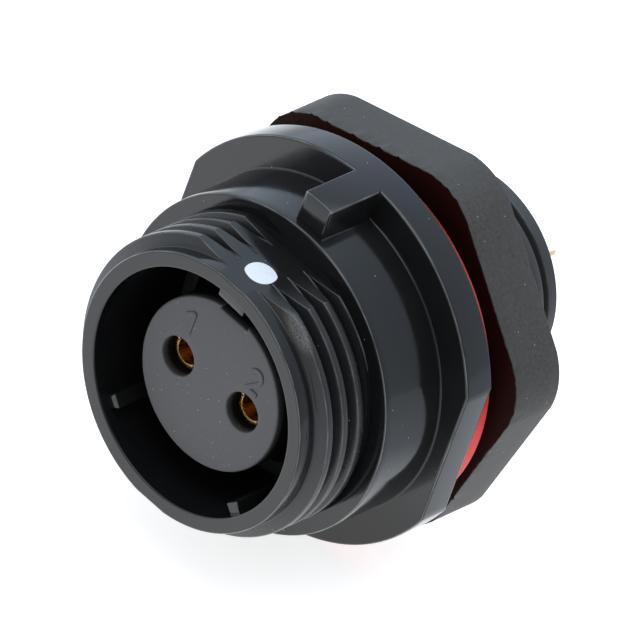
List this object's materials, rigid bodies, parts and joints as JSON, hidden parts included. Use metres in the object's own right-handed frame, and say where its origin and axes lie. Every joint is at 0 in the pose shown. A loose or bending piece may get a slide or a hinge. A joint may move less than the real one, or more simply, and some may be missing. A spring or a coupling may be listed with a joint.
{
  "type": "panel-mount circular connector receptacle",
  "caption": "Round threaded plastic panel receptacle with a keyed socket insert, red panel gasket and hexagonal rear nut on a threaded shank with solder cups.",
  "frame": {"origin": "on the connector's axis, in the plane of the flange's back face, where the gasket and the panel seat", "axes": "+Y along the axis from the mating face to the solder cups, +Z through the polarising lug and the index dot, +X to the right of a person who looks at the mating face"},
  "size_m": [0.0238, 0.0279, 0.024],
  "materials": {
    "shell_plastic": "moulded, satin gloss",
    "insert_plastic": "moulded, fine matt grain",
    "seal_rubber": "matt",
    "ring_plastic": "moulded, satin",
    "insulator_plastic": "moulded, matt",
    "contact_gold": "turned and gold plated",
    "index_paint": "white paint fill",
    "gasket_rubber": "matt silicone",
    "nut_plastic": "moulded, matt grain"
  },
  "bodies": {
    "receptacle": {"receptacle_shell": "shell_plastic", "contact_insert": "insert_plastic", "insert_seal": "seal_rubber", "retaining_ring": "ring_plastic", "rear_insulator": "insulator_plastic", "socket_contact_1": "contact_gold", "socket_contact_2": "contact_gold", "index_dot": "index_paint"},
    "gasket": {"panel_gasket": "gasket_rubber"},
    "nut": {"panel_nut": "nut_plastic"}
  },
  "joints": [
    {"name": "nut_turn", "type": "hinge", "parent": "receptacle", "child": "gasket", "pos_m": [0, 0, 0], "axis": [0, 1, 0], "range_deg": [-252, 3528]},
    {"name": "nut_travel", "type": "slide", "parent": "gasket", "child": "nut", "axis": [0, 1, 0], "range_m": [-0.00071, 0.00981]}
  ],
  "couplings": [
    {"joint": "nut_travel", "follows": "nut_turn", "m_per_rad": 0.00015915}
  ]
}
